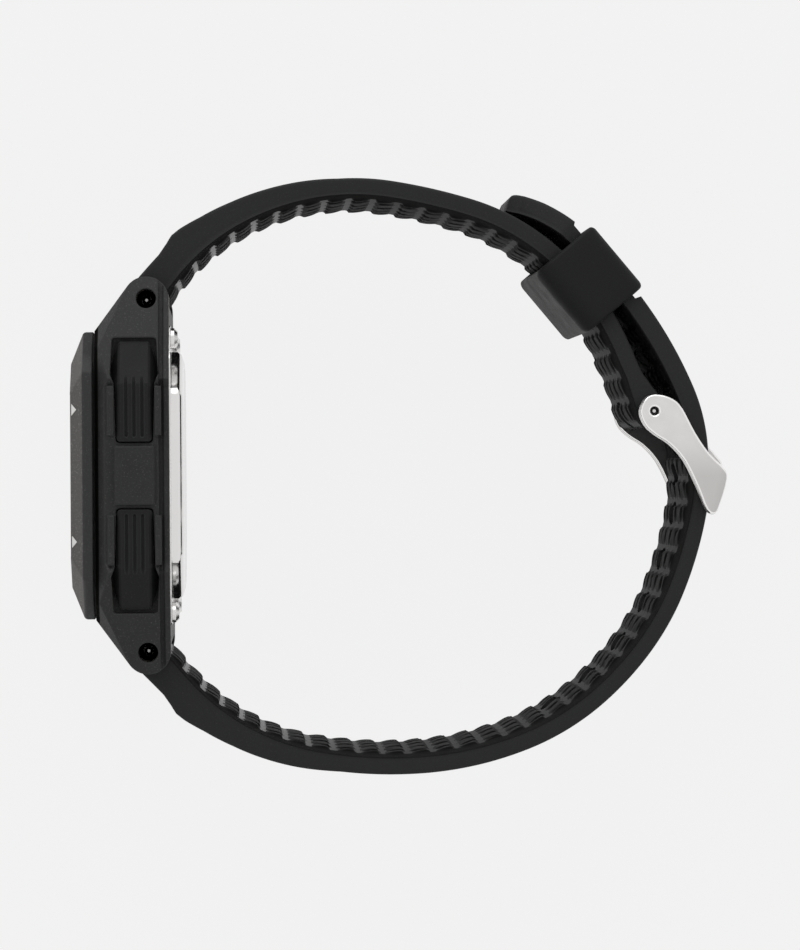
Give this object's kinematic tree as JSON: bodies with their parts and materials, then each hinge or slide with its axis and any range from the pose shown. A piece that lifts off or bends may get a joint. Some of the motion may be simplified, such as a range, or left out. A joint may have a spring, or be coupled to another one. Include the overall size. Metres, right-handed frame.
{
  "type": "digital tide watch",
  "caption": "Digital tide watch on a ribbed, buckled strap: moulded case with a steel back, sprung fluted buttons and a sliding keeper, lying on its flank.",
  "frame": {"origin": "middle of the flat land between the two buttons of the 9 o'clock flank, on the lowest face", "axes": "+X from the dial towards the buckle, +Y towards 12 o'clock, +Z towards the 3 o'clock flank, which faces up"},
  "size_m": [0.0751, 0.0675, 0.04],
  "materials": {
    "case_resin": "fine speckled moulding",
    "bezel_resin": "matte with a grey chamfer",
    "gasket": "matte",
    "crystal": "polished",
    "mask": "printed",
    "display": "grey green liquid crystal",
    "backlight": "milky",
    "connector": "striped silicone",
    "board": "solder resist",
    "module": "moulded",
    "cell": "polished",
    "contact": "stamped",
    "back_steel": "polished",
    "screw_steel": "polished",
    "button_resin": "matte",
    "small_steel": "turned",
    "strap": "matte moulding",
    "keeper": "matte moulding",
    "buckle_steel": "bead blasted with polished bevels"
  },
  "bodies": {
    "root": {"case_body": "case_resin", "bezel": "bezel_resin", "bezel_gasket": "gasket", "crystal": "crystal", "crystal_gasket": "gasket", "dial_mask": "mask", "lcd_panel": "display", "backlight_panel": "backlight", "zebra_connector": "connector", "circuit_board": "board", "module_frame": "module", "battery": "cell", "battery_clip": "contact", "piezo_buzzer": "contact", "case_back": "back_steel", "case_back_gasket": "gasket", "case_back_screws": "screw_steel", "button_springs": "small_steel", "button_seals": "gasket", "upper_strap": "strap", "lower_strap": "strap", "upper_spring_bar": "small_steel", "lower_spring_bar": "small_steel", "buckle_spring_bar": "small_steel"},
    "button_up": {"button_up": "button_resin", "clip_up": "small_steel"},
    "button_down": {"button_down": "button_resin", "clip_down": "small_steel"},
    "button_mode": {"button_mode": "button_resin", "clip_mode": "small_steel"},
    "button_light": {"button_light": "button_resin", "clip_light": "small_steel"},
    "buckle": {"buckle_frame": "buckle_steel"},
    "tongue": {"buckle_tongue": "buckle_steel"},
    "keeper": {"keeper": "keeper"}
  },
  "joints": [
    {"name": "up_press", "type": "slide", "parent": "root", "child": "button_up", "axis": [0, 0, -1], "range_m": [0, 0.0008], "stiffness_N_per_m": 800, "springref_m": -0.0005},
    {"name": "down_press", "type": "slide", "parent": "root", "child": "button_down", "axis": [0, 0, -1], "range_m": [0, 0.0008], "stiffness_N_per_m": 800, "springref_m": -0.0005},
    {"name": "mode_press", "type": "slide", "parent": "root", "child": "button_mode", "axis": [0, 0, 1], "range_m": [0, 0.0008], "stiffness_N_per_m": 800, "springref_m": -0.0005},
    {"name": "light_press", "type": "slide", "parent": "root", "child": "button_light", "axis": [0, 0, 1], "range_m": [0, 0.0008], "stiffness_N_per_m": 800, "springref_m": -0.0005},
    {"name": "buckle_turn", "type": "hinge", "parent": "root", "child": "buckle", "pos_m": [0.05838, 0.00691, 0.02], "axis": [0, 0, 1], "range_deg": [0, 3.5]},
    {"name": "tongue_turn", "type": "hinge", "parent": "root", "child": "tongue", "pos_m": [0.05838, 0.00691, 0.02], "axis": [0, 0, 1], "range_deg": [0, 3.5]},
    {"name": "keeper_slide", "type": "slide", "parent": "root", "child": "keeper", "axis": [0.64, -0.7684, 0], "range_m": [-0.0005, 0.0005]}
  ],
  "couplings": [
    {"joint": "tongue_turn", "follows": "buckle_turn", "ratio": 1}
  ]
}
